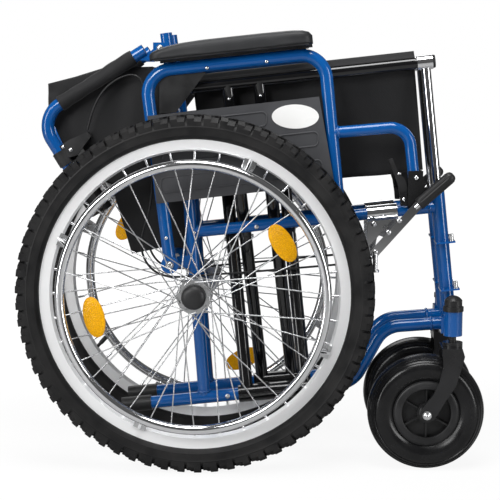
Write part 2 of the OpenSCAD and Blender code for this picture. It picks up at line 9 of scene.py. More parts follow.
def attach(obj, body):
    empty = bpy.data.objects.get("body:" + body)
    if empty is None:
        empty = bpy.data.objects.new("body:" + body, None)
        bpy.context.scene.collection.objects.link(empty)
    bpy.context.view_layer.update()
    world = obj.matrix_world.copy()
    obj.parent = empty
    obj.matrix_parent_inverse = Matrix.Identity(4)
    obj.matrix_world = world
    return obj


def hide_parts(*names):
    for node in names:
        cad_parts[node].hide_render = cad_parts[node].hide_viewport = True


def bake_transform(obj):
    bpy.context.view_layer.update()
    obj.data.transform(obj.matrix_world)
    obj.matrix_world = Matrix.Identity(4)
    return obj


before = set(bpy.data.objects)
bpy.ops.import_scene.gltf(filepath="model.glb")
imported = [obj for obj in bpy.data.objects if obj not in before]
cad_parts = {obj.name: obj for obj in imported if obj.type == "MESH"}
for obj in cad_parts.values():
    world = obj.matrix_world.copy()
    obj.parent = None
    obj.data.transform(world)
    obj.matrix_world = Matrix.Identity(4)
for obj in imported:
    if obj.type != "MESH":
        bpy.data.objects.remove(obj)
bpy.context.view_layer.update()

# ---- Rear tyres
# 24 inch rubber tyres with a smooth sidewall and two rows of moulded blocks on each
# half of the tread. Each sits in the hooks of its rim and turns with its wheel.
MID_X = 95.5
SIDES = {"near": -1, "far": 1}
WHEEL_Y, WHEEL_R = 117.5, 303.0


def at(x, y, z):
    """A point in millimetres from the rear axle's place on the floor, as a place in the frame."""
    return ((x - MID_X) / 1000, y / 1000, z / 1000)


def joined(parts):
    verts, faces = [], []
    for more, their in parts:
        start = len(verts)
        verts += more
        faces += [tuple(start + i for i in f) for f in their]
    return verts, faces


def make_piece(name, shape, material, body=None, sharp=38.0):
    mesh = bpy.data.meshes.new(name)
    mesh.from_pydata(shape[0], [], shape[1])
    tidy = bmesh.new()
    tidy.from_mesh(mesh)
    bmesh.ops.recalc_face_normals(tidy, faces=tidy.faces)
    tidy.to_mesh(mesh)
    tidy.free()
    mesh.shade_smooth()
    mesh.set_sharp_from_angle(angle=math.radians(sharp))
    mesh.materials.append(material)
    piece = bpy.data.objects.new(name, mesh)
    bpy.context.scene.collection.objects.link(piece)
    if body:
        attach(piece, body)
    return piece


def lathe(profile, centre, segments=128, closed=True, wobble=None):
    """Turns (radius, offset along y) points about an axis along y through centre."""
    n, verts, faces = len(profile), [], []
    for k in range(segments):
        a = 2 * math.pi * k / segments
        for r, y in profile:
            grown = r + (wobble(a, y) if wobble else 0)
            verts.append(at(centre[0] + grown * math.cos(a), centre[1] + y, centre[2] + grown * math.sin(a)))
    for k in range(segments):
        q = (k + 1) % segments
        for i in range(n if closed else n - 1):
            j = (i + 1) % n
            faces.append((k * n + i, k * n + j, q * n + j, q * n + i))
    if not closed:
        for end in (0, n - 1):
            if profile[end][0] > 0.01:
                faces.append(tuple(k * n + end for k in range(segments)))
    return verts, faces


def new_effect(name, inputs, outputs):
    group = bpy.data.node_groups.new(name, "ShaderNodeTree")
    for label, value in inputs:
        socket = group.interface.new_socket(label, in_out="INPUT", socket_type="NodeSocketFloat")
        socket.default_value = value
    for label in outputs:
        group.interface.new_socket(label, in_out="OUTPUT", socket_type="NodeSocketFloat")
    return group, group.nodes.new("NodeGroupInput"), group.nodes.new("NodeGroupOutput")


def grain_effect():
    """Fine moulded grain, and broad patches where hands and dust have dulled the surface."""
    group, given, put = new_effect("Grain and handling", [("Grain", 900), ("Patch", 18)], ["Height", "Patch"])
    place = group.nodes.new("ShaderNodeTexCoord")
    fine = group.nodes.new("ShaderNodeTexNoise")
    broad = group.nodes.new("ShaderNodeTexNoise")
    fine.inputs["Detail"].default_value = 2
    broad.inputs["Detail"].default_value = 5
    span = group.nodes.new("ShaderNodeMapRange")
    span.inputs["From Min"].default_value = 0.35
    span.inputs["From Max"].default_value = 0.68
    link = group.links.new
    for noise, label in ((fine, "Grain"), (broad, "Patch")):
        link(place.outputs["Object"], noise.inputs["Vector"])
        link(given.outputs[label], noise.inputs["Scale"])
    link(broad.outputs["Fac"], span.inputs["Value"])
    link(fine.outputs["Fac"], put.inputs["Height"])
    link(span.outputs["Result"], put.inputs["Patch"])
    return group


GRAIN = grain_effect()


def finish(name, colour, worn, rough, spread, grain=900, patch=18, depth=0.1, metallic=0.0, coat=0.0,
           shine=0.3, effect=GRAIN, first="Grain"):
    """A surface whose colour and gloss drift between two values, over a fine raised texture."""
    material = bpy.data.materials.new(name)
    material.use_nodes = True
    nodes, link = material.node_tree.nodes, material.node_tree.links.new
    shader = nodes["Principled BSDF"]
    shader.inputs["Metallic"].default_value = metallic
    shader.inputs["Coat Weight"].default_value = coat
    shader.inputs["Specular IOR Level"].default_value = shine
    shader.inputs["Coat Roughness"].default_value = 0.06
    texture = nodes.new("ShaderNodeGroup")
    texture.node_tree = effect
    texture.inputs[first].default_value = grain
    texture.inputs["Patch"].default_value = patch
    mix = nodes.new("ShaderNodeMix")
    mix.data_type = "RGBA"
    mix.inputs[6].default_value = (*colour, 1)
    mix.inputs[7].default_value = (*worn, 1)
    gloss = nodes.new("ShaderNodeMapRange")
    gloss.inputs["To Min"].default_value = rough - spread
    gloss.inputs["To Max"].default_value = rough + spread
    bump = nodes.new("ShaderNodeBump")
    bump.inputs["Strength"].default_value = depth
    bump.inputs["Distance"].default_value = 0.0005
    link(texture.outputs["Patch"], mix.inputs[0])
    link(mix.outputs[2], shader.inputs["Base Color"])
    link(texture.outputs["Patch"], gloss.inputs["Value"])
    link(gloss.outputs["Result"], shader.inputs["Roughness"])
    link(texture.outputs["Height"], bump.inputs["Height"])
    link(bump.outputs["Normal"], shader.inputs["Normal"])
    return material


tyre_rubber = finish("Dusty tyre rubber", (0.006, 0.006, 0.0065), (0.016, 0.0155, 0.0155), 0.55, 0.12, 1100, 26, 0.35,
                     shine=0.25)
HALF_TYRE = [(258.6, 12.4), (262.4, 12.6), (262.6, 16.5), (264, 19.5), (268, 22.4), (269, 23.4), (271, 23.5),
             (276, 24.4), (281, 24.3), (282, 24.8), (284, 24.6), (289, 22), (293.5, 17), (296, 10), (297, 3)]
BLOCKS = 66
LOW_SHOULDER = [(283, 23), (284.5, 24.6), (291.6, 25), (298.8, 18.4), (300.2, 12.6), (291, 12.2)]
HIGH_SHOULDER = [(283, 23), (284.5, 24.6), (296.4, 24.9), (302.2, 19.6), (302.8, 12.6), (291, 12.2)]
INNER = [(294, 1.6), (302.9, 2.2), (302.7, 10.6), (293, 11.4)]


def block(section, sign, low, high, lean=0.0):
    """One moulded block: a section of (radius, offset) drawn from one angle to another."""
    verts = []
    for a in (low, high):
        for r, y in section:
            turn = a + lean * (y / 25)
            verts.append(at(r * math.cos(turn), sign * y, WHEEL_R + r * math.sin(turn)))
    n = len(section)
    faces = [tuple(range(n)), tuple(range(2 * n - 1, n - 1, -1))]
    faces += [(i, (i + 1) % n, n + (i + 1) % n, n + i) for i in range(n)]
    return verts, faces


def tread(y_middle):
    pitch, parts = 2 * math.pi / BLOCKS, []
    for k in range(BLOCKS):
        for sign in (-1, 1):
            a = (k + (0.5 if sign > 0 else 0)) * pitch
            parts.append(block(LOW_SHOULDER, sign, a, a + pitch * 0.47, pitch * 0.06))
            parts.append(block(HIGH_SHOULDER, sign, a + pitch * 0.54, a + pitch * 0.95, -pitch * 0.05))
            parts.append(block(INNER, sign, a + pitch * 0.1, a + pitch * 0.44, pitch * 0.5))
            parts.append(block(INNER, sign, a + pitch * 0.6, a + pitch * 0.94, -pitch * 0.5))
    verts, faces = joined(parts)
    return [(x, y + y_middle / 1000, z) for x, y, z in verts], faces


for side, s in SIDES.items():
    profile = HALF_TYRE + [(r, -y) for r, y in reversed(HALF_TYRE)]
    shape = joined([lathe(profile, (0, s * WHEEL_Y, WHEEL_R), 168), tread(s * WHEEL_Y)])
    tyre = make_piece(side + "_block_tyre", shape, tyre_rubber, side + "_wheel", 32)
    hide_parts(side + "_tyre")

# ---- Rims, spokes and hubs
# Bright anodised alloy rims laced with 36 steel spokes to plated hubs. Each spoke ends in
# a nipple in the rim, and a black cap closes the outer end of the hub.


def drawn_effect():
    """Fine lines left by drawing or polishing metal, and faint cloudy patches."""
    group, given, put = new_effect("Drawn metal", [("Lines", 500), ("Patch", 12)], ["Height", "Patch"])
    place = group.nodes.new("ShaderNodeTexCoord")
    squeeze = group.nodes.new("ShaderNodeMapping")
    squeeze.inputs["Scale"].default_value = (1, 0.12, 1)
    fine = group.nodes.new("ShaderNodeTexNoise")
    broad = group.nodes.new("ShaderNodeTexNoise")
    link = group.links.new
    link(place.outputs["Object"], squeeze.inputs["Vector"])
    link(squeeze.outputs["Vector"], fine.inputs["Vector"])
    link(place.outputs["Object"], broad.inputs["Vector"])
    link(given.outputs["Lines"], fine.inputs["Scale"])
    link(given.outputs["Patch"], broad.inputs["Scale"])
    link(fine.outputs["Fac"], put.inputs["Height"])
    link(broad.outputs["Fac"], put.inputs["Patch"])
    return group


DRAWN = drawn_effect()
rim_alloy = finish("Anodised rim alloy", (0.96, 0.96, 0.965), (0.9, 0.905, 0.91), 0.3, 0.06, 420, 14, 0.04,
                   metallic=0.35, effect=DRAWN, first="Lines")
spoke_steel = finish("Zinc plated steel", (0.7, 0.705, 0.71), (0.56, 0.565, 0.575), 0.27, 0.07, 500, 30, 0.05,
                     metallic=1.0, effect=DRAWN, first="Lines")
bright_plate = finish("Bright plating", (0.86, 0.865, 0.875), (0.78, 0.785, 0.8), 0.1, 0.04, 300, 16, 0.015,
                      metallic=1.0, effect=DRAWN, first="Lines")
black_mould = finish("Black moulded plastic", (0.013, 0.013, 0.0135), (0.024, 0.024, 0.025), 0.4, 0.08,
                     1500, 30, 0.2)
SPOKES, SPOKE_BED, NIPPLE_TIP = 36, 241.6, 229.0


def paint_nodes(material, *names):
    for name in names:
        for index in range(max(1, len(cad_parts[name].material_slots))):
            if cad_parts[name].material_slots:
                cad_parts[name].material_slots[index].material = material
            else:
                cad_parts[name].data.materials.append(material)


def rod(p, q, r, sides=16, r_end=None):
    """A round bar between two points in millimetres, with flat ends."""
    p, q = Vector(p), Vector(q)
    along = (q - p).normalized()
    across = along.cross(Vector((0, 1, 0)) if abs(along.y) < 0.9 else Vector((1, 0, 0))).normalized()
    other = along.cross(across)
    verts = []
    for centre, radius in ((p, r), (q, r if r_end is None else r_end)):
        for k in range(sides):
            a = 2 * math.pi * k / sides
            verts.append(at(*(centre + (across * math.cos(a) + other * math.sin(a)) * radius)))
    faces = [tuple(range(sides)), tuple(range(2 * sides - 1, sides - 1, -1))]
    faces += [(k, (k + 1) % sides, sides + (k + 1) % sides, sides + k) for k in range(sides)]
    return verts, faces


for side, s in SIDES.items():
    paint_nodes(rim_alloy, side + "_rim")
    paint_nodes(spoke_steel, side + "_spokes")
    paint_nodes(spoke_steel, side + "_hub")
    nipples = []
    for k in range(SPOKES):
        a, lane = math.radians(10 * k), (2 if k % 2 == 0 else -2)
        outer = (SPOKE_BED * math.cos(a), s * (WHEEL_Y - lane), WHEEL_R + SPOKE_BED * math.sin(a))
        inner = (NIPPLE_TIP * math.cos(a), s * (WHEEL_Y - lane * 1.25), WHEEL_R + NIPPLE_TIP * math.sin(a))
        nipples.append(rod(outer, inner, 2.3, 10, 1.7))
    make_piece(side + "_spoke_nipples", joined(nipples), bright_plate, side + "_wheel")
    dome = [(20.4, 0), (20.6, -3), (20, -6), (17.5, -9), (12, -11.4), (5, -12.3), (0.01, -12.5)]
    dome = [(r, s * -y) for r, y in dome]
    shape = lathe(dome, (0, s * (WHEEL_Y + 30.2), WHEEL_R), 64, closed=False)
    cap = make_piece(side + "_axle_cap", shape, black_mould, side + "_wheel")
    if side == "near":
        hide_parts("near_hub_cap")

# The inner tube's valve stands through the rim towards the hub, capped in black.
valve = joined([rod((-209, WHEEL_Y, 161), (-196, WHEEL_Y, 175), 3.2),
                rod((-196, WHEEL_Y, 175), (-186, WHEEL_Y, 186), 4.2)])
make_piece("far_tube_valve", valve, black_mould, "far_wheel")

# ---- Push rings
# Chromed steel hoops that the hands turn the wheels with. Four welded tabs bolt each
# one to its rim.
BOLT_FOOT, BOLT_HEAD = 242.0, 236.0
for side, s in SIDES.items():
    paint_nodes(bright_plate, side + "_push_ring")
    bolts = []
    for k in range(4):
        a = math.radians(67.5 + 90 * k)
        foot = (BOLT_FOOT * math.cos(a), s * (WHEEL_Y + 11), WHEEL_R + BOLT_FOOT * math.sin(a))
        head = (BOLT_HEAD * math.cos(a), s * (WHEEL_Y + 17), WHEEL_R + BOLT_HEAD * math.sin(a))
        bolts.append(rod(foot, head, 3.4, 6))
        tab = []
        for y in (15.4, 13.6):
            for radial, along in ((224, -8), (224, 8), (238, 11), (246.5, 11), (246.5, -11), (238, -11)):
                tab.append(at(radial * math.cos(a) - along * math.sin(a), s * (WHEEL_Y + y),
                              WHEEL_R + radial * math.sin(a) + along * math.cos(a)))
        walls = [(i, (i + 1) % 6, 6 + (i + 1) % 6, 6 + i) for i in range(6)]
        bolts.append((tab, [tuple(range(6)), tuple(range(11, 5, -1))] + walls))
    make_piece(side + "_ring_tabs", joined(bolts), spoke_steel, side + "_wheel")

# ---- Spoke reflectors
# Amber prismatic lenses clipped across the spokes, two on each wheel. The lens is a
# shallow dome with its cells moulded on the inside; a faint amber emission adds a painted glow.
amber = bpy.data.materials.new("Amber lens with painted glow")
amber.use_nodes = True
lens = amber.node_tree.nodes["Principled BSDF"]
lens.inputs["Roughness"].default_value = 0.16
lens.inputs["Specular IOR Level"].default_value = 0.25
# Painted glow: the lens gives off a little amber light of its own, though it is no lamp.
lens.inputs["Emission Color"].default_value = (1.0, 0.42, 0.0, 1)
lens.inputs["Emission Strength"].default_value = 0.1
cells = amber.node_tree.nodes.new("ShaderNodeTexVoronoi")
cells.inputs["Scale"].default_value = 520
cells_tint = amber.node_tree.nodes.new("ShaderNodeMix")
cells_tint.data_type = "RGBA"
cells_tint.inputs[6].default_value = (0.46, 0.19, 0.001, 1)
cells_tint.inputs[7].default_value = (0.8, 0.4, 0.002, 1)
cells_span = amber.node_tree.nodes.new("ShaderNodeMapRange")
cells_span.inputs["From Max"].default_value = 0.75
amber.node_tree.links.new(cells.outputs["Distance"], cells_span.inputs["Value"])
amber.node_tree.links.new(cells_span.outputs["Result"], cells_tint.inputs[0])
amber.node_tree.links.new(cells_tint.outputs[2], lens.inputs["Base Color"])
cells_place = amber.node_tree.nodes.new("ShaderNodeTexCoord")
cells_bump = amber.node_tree.nodes.new("ShaderNodeBump")
cells_bump.inputs["Strength"].default_value = 0.7
cells_bump.inputs["Distance"].default_value = 0.001
amber.node_tree.links.new(cells_place.outputs["Object"], cells.inputs["Vector"])
amber.node_tree.links.new(cells.outputs["Distance"], cells_bump.inputs["Height"])
amber.node_tree.links.new(cells_bump.outputs["Normal"], lens.inputs["Normal"])


def reflector(angle, s):
    """An oval lens whose long axis lies along the wheel's turning direction."""
    a, verts, faces = math.radians(angle), [], []
    rings = [(0.96, 14), (1.0, 15.5), (0.98, 17.4), (0.9, 18.6), (0.62, 19.6), (0.3, 20), (0.02, 20)]
    count = 48
    for share, out in rings:
        for k in range(count):
            t = 2 * math.pi * k / count
            radial = 173 + 18 * share * math.copysign(abs(math.cos(t)) ** 0.9, math.cos(t))
            along = 35 * share * math.sin(t)
            verts.append(at(radial * math.cos(a) - along * math.sin(a), s * (WHEEL_Y + out),
                            WHEEL_R + radial * math.sin(a) + along * math.cos(a)))
    for i in range(len(rings) - 1):
        for k in range(count):
            q = (k + 1) % count
            faces.append((i * count + k, i * count + q, (i + 1) * count + q, (i + 1) * count + k))
    faces.append(tuple(range(count)))
    faces.append(tuple((len(rings) - 1) * count + k for k in range(count)))
    return verts, faces


for side, angles in {"near": (31.6, 192.5), "far": (146.5, 294)}.items():
    shape = joined([reflector(angle, SIDES[side]) for angle in angles])
    piece = make_piece(side + "_amber_lenses", shape, amber, side + "_wheel", 25)
    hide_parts(side + "_reflectors")

# ---- Casters
# Wide moulded rubber tyres with ringed sidewalls on ribbed black wheels. A bolt through
# the curved fork carries each one, and the fork's stem turns in the frame's barrel.
CASTER_X, CASTER_Y, CASTER_R = 394.0, 80.0, 100.0
caster_rubber = finish("Moulded caster rubber", (0.005, 0.005, 0.0055), (0.011, 0.011, 0.0115), 0.24, 0.07,
                       900, 20, 0.08)
fork_enamel = finish("Black enamel", (0.009, 0.009, 0.0095), (0.017, 0.017, 0.018), 0.3, 0.08, 700, 14, 0.12,
                     coat=0.25)
HALF_CASTER = [(56.2, 17.5), (58.5, 19), (61.5, 21.6), (66, 23.6), (72, 24.8), (77, 24.9), (82, 24), (86.5, 21.8),
               (87.4, 20.4), (88.6, 21), (91, 19), (92, 17), (93, 17.3), (95.5, 14.2), (96.2, 12), (97.2, 12),
               (98.8, 8), (99.8, 3)]


def nut(x, y, z, s, r=8.0, high=6.0):
    """A hexagon nut with a domed end, facing outboard."""
    hexagon = lathe([(r, 0), (r, s * high * 0.7), (r * 0.8, s * high)], (x, y, z), 6, closed=False)
    end = lathe([(r * 0.5, s * high), (r * 0.46, s * (high + 1.5)), (r * 0.2, s * (high + 2.6))], (x, y, z), 20,
                closed=False)
    return joined([hexagon, end])


for side, s in SIDES.items():
    profile = HALF_CASTER + [(r, -y) for r, y in reversed(HALF_CASTER)]
    shape = lathe(profile, (CASTER_X, s * CASTER_Y, CASTER_R), 144)
    tyre = make_piece(side + "_caster_ringed_tyre", shape, caster_rubber, side + "_caster", 50)
    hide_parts(side + "_caster_tyre")
    paint_nodes(black_mould, side + "_caster_wheel")
    paint_nodes(fork_enamel, side + "_caster_fork")
    paint_nodes(spoke_steel, side + "_caster_axle")
    ring = lathe([(41.5, 18.9), (42.3, 21.4), (44, 22.2), (52.4, 22), (54.2, 20.6), (54.6, 18.9)],
                 (CASTER_X, s * CASTER_Y, CASTER_R), 96)
    boss = lathe([(13, 19), (13, 22.5), (11, 24), (6, 24)], (CASTER_X, s * CASTER_Y, CASTER_R), 48)
    if s < 0:
        ring, boss = [([(x, 2 * s * CASTER_Y / 1000 - y, z) for x, y, z in v], f) for v, f in (ring, boss)]
    make_piece(side + "_caster_rings", joined([ring, boss]), black_mould, side + "_caster")
    make_piece(side + "_caster_bolt", nut(CASTER_X, s * (CASTER_Y + 37), CASTER_R, s, 6.2, 3), bright_plate,
               side + "_fork")

# ---- Side frames
# Blue enamelled steel tubes, bent cold and welded at each joint. The beads show as low
# rippled rings under the paint.
FRAME_Y = 46.0
blue_enamel = finish("Blue enamel", (0.001, 0.07, 0.27), (0.0015, 0.084, 0.31), 0.22, 0.04, 260, 9, 0.03,
                     coat=0.9, shine=0.15)
TILT = math.radians(6.4)
SLOPE = math.tan(TILT)


def low_tube(x):
    return (x, 117.5 + (x - 68) * SLOPE)


def side_tube(x):
    return (x, 402 + (x + 8) * 46.7 / 415)


def weld(x, y, z, along, r, seed):
    """A rippled weld bead round a tube that runs in the side view's direction along."""
    draw = random.Random(seed)
    direction = Vector((along[0], along[1], along[2])).normalized()
    across = direction.cross(Vector((0, 1, 0)) if abs(direction.y) < 0.9 else Vector((1, 0, 0))).normalized()
    other = direction.cross(across)
    count, verts, faces = 60, [], []
    for k in range(count):
        a, swell = 2 * math.pi * k / count, draw.uniform(0.85, 1.15) * (1.12 if k % 3 else 0.8)
        for m in range(8):
            b = 2 * math.pi * m / 8
            out = across * math.cos(a) + other * math.sin(a)
            point = Vector((x, y, z)) + out * (r + 1.5 * swell * math.cos(b))
            verts.append(at(*(point + direction * 2.0 * swell * math.sin(b))))
    for k in range(count):
        for m in range(8):
            q, n = (k + 1) % count, (m + 1) % 8
            faces.append((k * 8 + m, k * 8 + n, q * 8 + n, q * 8 + m))
    return verts, faces


for side, s in SIDES.items():
    y = s * FRAME_Y
    paint_nodes(blue_enamel, side + "_frame")
    beads = [weld(0.2, y, side_tube(0.2)[1], (1, 0, 0.11), 10, 1),
             weld(397, y, side_tube(397)[1], (1, 0, 0.11), 10, 2),
             weld(10.2, y, low_tube(10)[1] + 11.5, (-0.08, 0, 1), 10.6, 3),
             weld(0, s * 57.4, WHEEL_R, (0, 1, 0), 10.6, 4),
             weld(404, y, 246.3, (1, 0, 0.08), 11, 5)]
    make_piece(side + "_frame_welds", joined(beads), blue_enamel, side + "_frame", 60)

# ---- Frame fittings
# Rubber tube ends, the barrel's domed cover, the axle and the bolts and rivets that
# hold the fittings. Bolts are zinc plated, rivets are bright steel.


def rivet(x, y, z, s, r=4.0, high=2.4):
    """A domed head that stands outboard from y on the side s."""
    dome = [(r, 0), (r, s * high * 0.3), (r * 0.82, s * high * 0.7), (r * 0.45, s * high * 0.95),
            (0.02, s * high)]
    return lathe(dome, (x, y, z), 20, closed=False)


for side, s in SIDES.items():
    paint_nodes(black_mould, side + "_frame_caps")
    paint_nodes(spoke_steel, side + "_axle_and_pins")
    heads = [rivet(52, s * 56.8, low_tube(52)[1], s, 4.2), rivet(-6, s * 56.4, 402, s, 3),
             rivet(101, s * 56, 413, s, 4),
             rivet(-64.3, s * 59.2, 717, s, 4.6), rivet(-46, s * 88, 349, s, 6, 3.4)]
    make_piece(side + "_frame_rivets", joined(heads), spoke_steel, side + "_frame")

# ---- Folding cross
# Two black enamelled braces that cross under the seat. Each turns on its own lower
# tube, and carries the opposite seat rail, so the rails rise as the sides close.
RAIL_RISE, PIVOT_X = 538.0, 130.0
brace_enamel = finish("Black brace enamel", (0.004, 0.004, 0.0045), (0.008, 0.008, 0.0085), 0.15, 0.04,
                      500, 12, 0.03, coat=0.9, shine=0.2)
paint_nodes(brace_enamel, "outer_brace", "inner_brace")
paint_nodes(spoke_steel, "brace_bolts")


def on_brace(along, y, up):
    """A point by its distance along the lower tube, its y and its height square to the tube."""
    x, z = low_tube(PIVOT_X)
    return (x + along * math.cos(TILT) - up * math.sin(TILT), y, z + along * math.sin(TILT) + up * math.cos(TILT))


def brace_screws(legs, s):
    parts = []
    for along in legs:
        x, y, z = on_brace(along, s * 56.6, RAIL_RISE - 26)
        parts.append(rivet(x, y - s * 4.4, z, s, 2.8, 2.4))
        x, y, z = on_brace(along, s * 56, RAIL_RISE - 52)
        parts.append(rivet(x, y - s * 8.2, z, s, 2.4, 2))
    return joined(parts)


make_piece("outer_brace_screws", brace_screws((-44, 58), 1), bright_plate, "outer_brace_body")
make_piece("inner_brace_screws", brace_screws((-20, 34), -1), bright_plate, "inner_brace_body")
for side, s in SIDES.items():
    paint_nodes(bright_plate, side + "_seat_guide")
    head = (385.6, s * FRAME_Y, 694.6)
    ends = [(head[0] + d * math.cos(TILT), head[1], head[2] + d * math.sin(TILT)) for d in (12, 16.5)]
    make_piece(side + "_guide_plug", rod(*ends, 11.6, 32, 10.4), black_mould, side + "_guide")

# ---- Arms
# Blue tube arms that flip back, each with a self-skinned foam pad screwed on from
# below, a dark corner plate under the rear bend and a latch bracket at the front.
ARM_Y, PAD_Y = 73.0, 85.0
PAD_REAR, PAD_LONG, PAD_WIDE, PAD_HIGH = (-78.0, 693.0), 275.0, 48.0, 27.0
PAD_SLOPE = math.atan2(33, 302)
pad_skin = finish("Foam pad skin", (0.018, 0.0185, 0.02), (0.03, 0.031, 0.033), 0.5, 0.1, 1300, 14, 0.4)


def on_pad(along, y, up):
    return at(PAD_REAR[0] + along * math.cos(PAD_SLOPE) - up * math.sin(PAD_SLOPE), y,
              PAD_REAR[1] + along * math.sin(PAD_SLOPE) + up * math.cos(PAD_SLOPE))


PAD_TOP = [(0, 10), (0.02, 14.5), (0.06, 18.5), (0.12, 22), (0.2, 24.6), (0.35, 26.4), (0.7, 26.5), (0.88, 25.6),
           (0.94, 24), (0.98, 20.5), (1, 14)]


def from_table(table, t):
    for (a, low), (b, high) in zip(table, table[1:]):
        if t <= b:
            return low + (high - low) * (t - a) / (b - a)
    return table[-1][1]


def foam_pad(s):
    """The crowned pad: thin at the rear, full at the front, its underside nearly flat."""
    rows, around, verts, faces = 64, 40, [], []
    for i in range(rows + 1):
        t = 0.5 - 0.5 * math.cos(math.pi * i / rows)
        top = from_table(PAD_TOP, t)
        wide = PAD_WIDE / 2 * (max(0.0006, 1 - abs(2 * t - 1) ** 16) ** 0.42)
        for k in range(around):
            a = 2 * math.pi * k / around
            c, h = math.cos(a), math.sin(a)
            side_part = math.copysign(abs(c) ** 0.55, c)
            high = top * (0.5 + 0.5 * math.copysign(abs(h) ** (0.75 if h > 0 else 0.35), h)) + 0.6
            pinch = 0.965 if abs(high - 7) < 2 else 1.0
            verts.append(on_pad(t * PAD_LONG, s * PAD_Y + wide * side_part * pinch, min(high, PAD_HIGH - 0.4)))
    for i in range(rows):
        for k in range(around):
            q = (k + 1) % around
            faces.append((i * around + k, i * around + q, (i + 1) * around + q, (i + 1) * around + k))
    faces.append(tuple(range(around)))
    faces.append(tuple(rows * around + k for k in range(around)))
    return verts, faces


def slab(corners, y0, y1):
    """A flat plate of an outline in the side view, from one y to another."""
    n = len(corners)
    verts = [at(x, y0, z) for x, z in corners] + [at(x, y1, z) for x, z in corners]
    faces = [tuple(range(n)), tuple(range(2 * n - 1, n - 1, -1))]
    faces += [(i, (i + 1) % n, n + (i + 1) % n, n + i) for i in range(n)]
    return verts, faces


def pad_tray(s):
    def bar(x0, x1, y0, y1, z0, z1):
        verts = [on_pad(x, y, z) for x in (x0, x1) for y in (y0, y1) for z in (z0, z1)]
        return verts, [(0, 1, 3, 2), (4, 6, 7, 5), (0, 4, 5, 1), (2, 3, 7, 6), (0, 2, 6, 4), (1, 5, 7, 3)]
    base = bar(8, 268, s * PAD_Y - 20, s * PAD_Y + 20, -0.4, 2)
    strip = bar(16, 257, s * ARM_Y - 7, s * ARM_Y + 7, -4.2, -0.3)
    hook = bar(250, 262, s * ARM_Y - 9, s * ARM_Y + 9, -6, 0)
    return joined([base, strip, hook])


for side, s in SIDES.items():
    paint_nodes(blue_enamel, side + "_arm_frame")
    foam = make_piece(side + "_foam_pad", foam_pad(s), pad_skin, side + "_arm", 60)
    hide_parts(side + "_arm_pad")
    make_piece(side + "_pad_tray", pad_tray(s), black_mould, side + "_arm")
    screws = [rivet(x, s * (ARM_Y + 10.6), z, s, 3.2, 2.2) for x, z in ((17.7, 683), (117.5, 694), (-52, 395))]
    make_piece(side + "_arm_screws", joined(screws), bright_plate, side + "_arm")
    beads = [weld(238.6, s * ARM_Y, 576, (1, 0, 0.09), 10.2, 6)]
    make_piece(side + "_arm_welds", joined(beads), blue_enamel, side + "_arm", 60)

# ---- Skirts
# Dark grained plastic guards on the outer side of the arm tubes, with embossed panels that
# stiffen them and a plain white oval plate. They keep clothes off the wheel.
skirt_plastic = finish("Grained grey plastic", (0.046, 0.047, 0.051), (0.06, 0.061, 0.066), 0.5, 0.07,
                       1000, 12, 0.5)
white_plate = finish("White plate", (0.82, 0.82, 0.81), (0.78, 0.78, 0.77), 0.28, 0.05, 600, 20, 0.03)
SKIRT = [(-83, 602), (206, 636), (232, 498), (228, 490), (-68, 454)]
SKIRT_OUT, SKIRT_IN = 86.3, 84.3


def skirt_line(x, share):
    """A height on the skirt by its share of the way from the lower edge to the upper one."""
    low = 454 + (x + 68) * 36 / 296
    high = 602 + (x + 83) * 34 / 289
    return low + (high - low) * share


def loop_ridge(points, y, r=1.5):
    """A low round ridge along a closed line in the side view."""
    n, verts, faces = len(points), [], []
    for i in range(n):
        before, after = Vector(points[i - 1]), Vector(points[(i + 1) % n])
        along = (after - before).normalized()
        across = Vector((-along.y, along.x))
        for m in range(8):
            a = 2 * math.pi * m / 8
            verts.append(at(points[i][0] + across.x * r * math.cos(a), y + r * math.sin(a),
                            points[i][1] + across.y * r * math.cos(a)))
    for i in range(n):
        for m in range(8):
            j, q = (i + 1) % n, (m + 1) % 8
            faces.append((i * 8 + m, i * 8 + q, j * 8 + q, j * 8 + m))
    return verts, faces


def panel_outline(x0, x1, share, half, corner=8):
    points = []
    for cx, sx in ((x1 - corner, 1), (x0 + corner, -1)):
        for up in ((1, -1) if sx < 0 else (-1, 1)):
            for k in range(6):
                turn = k / 5 * 90
                if sx > 0:
                    a = math.radians(-90 + turn if up < 0 else turn)
                else:
                    a = math.radians(90 + turn if up > 0 else 180 + turn)
                z = skirt_line(cx, share) + up * (half - corner)
                points.append((cx + corner * math.cos(a), z + corner * math.sin(a)))
    return points


def oval_plate(x, z, wide, high, y0, y1):
    count = 64
    outline = [(x + wide * math.cos(2 * math.pi * k / count), z + high * math.sin(2 * math.pi * k / count))
               for k in range(count)]
    return slab(outline, y0, y1)


for side, s in SIDES.items():
    ridges = [loop_ridge(panel_outline(-58, 205, 0.53, 12), s * SKIRT_OUT),
              loop_ridge(panel_outline(-60, 212, 0.2, 13), s * SKIRT_OUT),
              loop_ridge(panel_outline(-66, 118, 0.82, 12), s * SKIRT_OUT)]
    shape = joined([slab(SKIRT, s * SKIRT_OUT, s * SKIRT_IN)] + ridges)
    guard = make_piece(side + "_skirt_guard", shape, skirt_plastic, side + "_arm", 40)
    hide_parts(side + "_skirt")
    plate = oval_plate(166.5, 602.5, 39.5, 20.2, s * (SKIRT_OUT + 1.1), s * SKIRT_OUT)
    make_piece(side + "_oval_plate", plate, white_plate, side + "_arm")
    corner = slab([(-64, 671), (13.5, 680), (15, 676), (-35.6, 608), (-64, 606)],
                  s * (ARM_Y + 1.2), s * (ARM_Y - 1.2))
    make_piece(side + "_corner_plate", corner, black_mould, side + "_arm")

